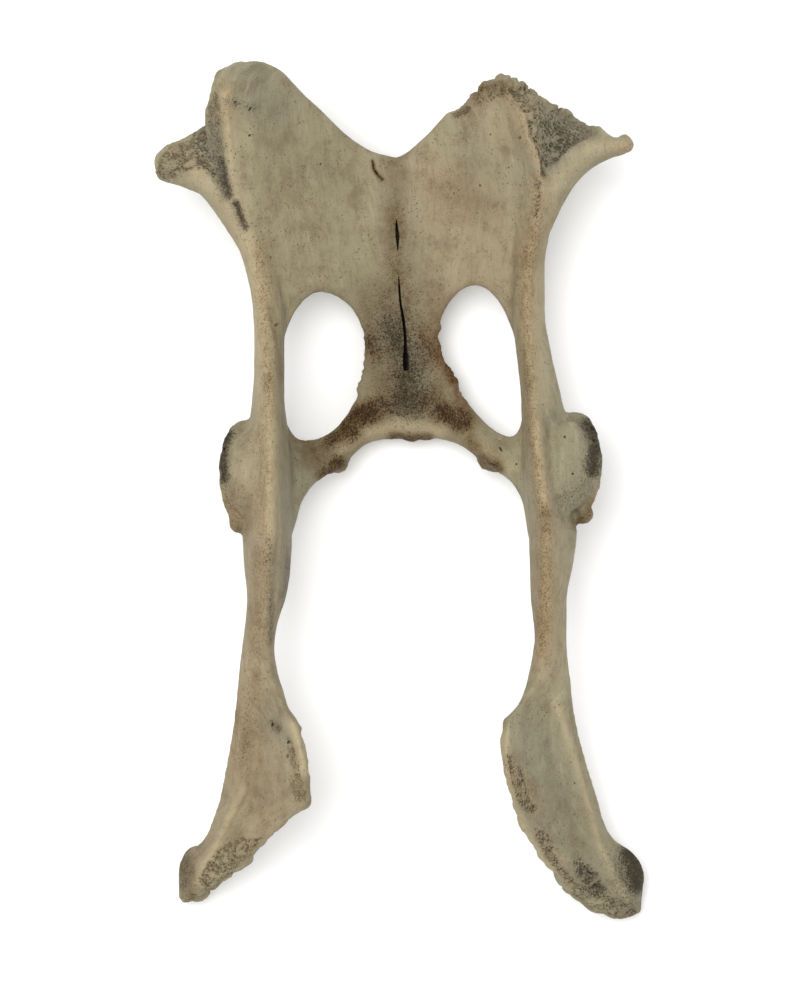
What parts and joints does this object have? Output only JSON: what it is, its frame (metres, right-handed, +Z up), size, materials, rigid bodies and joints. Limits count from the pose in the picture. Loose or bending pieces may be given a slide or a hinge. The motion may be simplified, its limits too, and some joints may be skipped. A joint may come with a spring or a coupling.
{
  "type": "deer pelvis",
  "caption": "Cleaned pelvis of a deer: two hip bones joined at the symphysis, with iliac wings, hip sockets, obturator foramina and ischial tubers.",
  "frame": {"origin": "centre of the plan bounding box, on the table it lies on", "axes": "+Y towards the tail end of the animal (ischial tubers), -Y towards the head end (iliac wings), +X towards the animal's left, +Z up, which is the dorsal side of the bone as it lies"},
  "size_m": [0.1494, 0.2616, 0.0532],
  "materials": {
    "bone": "dry weathered bone, matt to slightly satin"
  },
  "bodies": {
    "root": {"ilium_left": "bone", "ischium_left": "bone", "pubis_left": "bone", "ilium_right": "bone", "ischium_right": "bone", "pubis_right": "bone"}
  },
  "joints": []
}
